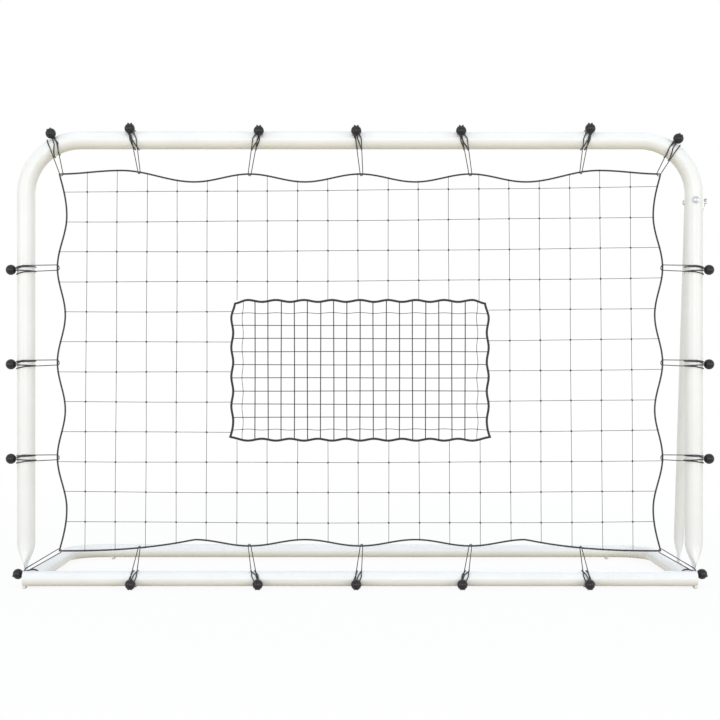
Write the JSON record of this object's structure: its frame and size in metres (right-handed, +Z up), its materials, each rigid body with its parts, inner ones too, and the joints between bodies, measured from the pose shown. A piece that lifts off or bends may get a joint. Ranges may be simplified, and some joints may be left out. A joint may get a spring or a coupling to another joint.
{
  "type": "pitch back rebounder",
  "caption": "Ball rebounder: a net with a small target hung on ball elastics in a tilting tube frame, hinged on a U-shaped ground frame and held by one sliding strut.",
  "frame": {"origin": "on the ground under the middle of the whole object", "axes": "+X to the player's right, +Y away from the player, +Z up"},
  "size_m": [1.8976, 0.6381, 1.2361],
  "materials": {
    "powder_white": "white powder coat, satin",
    "zinc": "bright zinc plate",
    "black_ball": "glossy black",
    "black_plastic": "matte black",
    "pad": "matte off-white",
    "elastic": "black woven elastic cord",
    "border_cord": "black braided cord",
    "twine": "dark grey knotted twine"
  },
  "bodies": {
    "base": {"base_front_bar": "powder_white", "base_spigots": "powder_white", "base_side_left": "powder_white", "base_side_right": "powder_white", "base_rear_bar": "powder_white", "base_sleeves": "zinc", "base_end_plugs": "pad", "front_feet": "pad", "rear_feet": "pad", "foot_bolts": "zinc", "foot_washers": "zinc", "foot_nuts": "zinc", "elastics_bottom": "elastic", "balls_bottom": "black_ball", "stops_base": "elastic"},
    "net_frame": {"post_left": "powder_white", "post_right": "powder_white", "top_bend_left": "powder_white", "top_bend_right": "powder_white", "top_bar": "powder_white", "frame_sleeves": "zinc", "joint_screws": "zinc", "pivot_bracket": "zinc", "bracket_screw": "zinc", "bracket_nut": "zinc", "pivot_bolt": "zinc", "pivot_washer": "zinc", "net": "twine", "net_border": "border_cord", "target_net": "twine", "target_border": "border_cord", "elastics_top": "elastic", "elastics_left": "elastic", "elastics_right": "elastic", "balls_top": "black_ball", "balls_left": "black_ball", "balls_right": "black_ball", "stops_frame": "elastic"},
    "strut": {"strut": "powder_white", "strut_cap": "black_plastic", "strut_spacer": "black_plastic", "slide_bolt": "zinc", "slide_nut": "zinc"},
    "wing_nut": {"wing_nut": "zinc"}
  },
  "joints": [
    {"name": "frame_tilt", "type": "hinge", "parent": "base", "child": "net_frame", "pos_m": [0, -0.22695, 0.0255], "axis": [-1, 0, 0], "range_deg": [0, 7], "deforming": ["elastics_bottom"]},
    {"name": "strut_swing", "type": "hinge", "parent": "net_frame", "child": "strut", "pos_m": [0.8965, -0.17695, 1.034], "axis": [1, 0, 0], "range_deg": [0, 11.3]},
    {"name": "wing_nut_turn", "type": "hinge", "parent": "net_frame", "child": "wing_nut", "pos_m": [0.8965, -0.17695, 1.034], "axis": [1, 0, 0], "continuous": true}
  ],
  "couplings": [
    {"joint": "strut_swing", "follows": "frame_tilt", "ratio": 1.59}
  ]
}
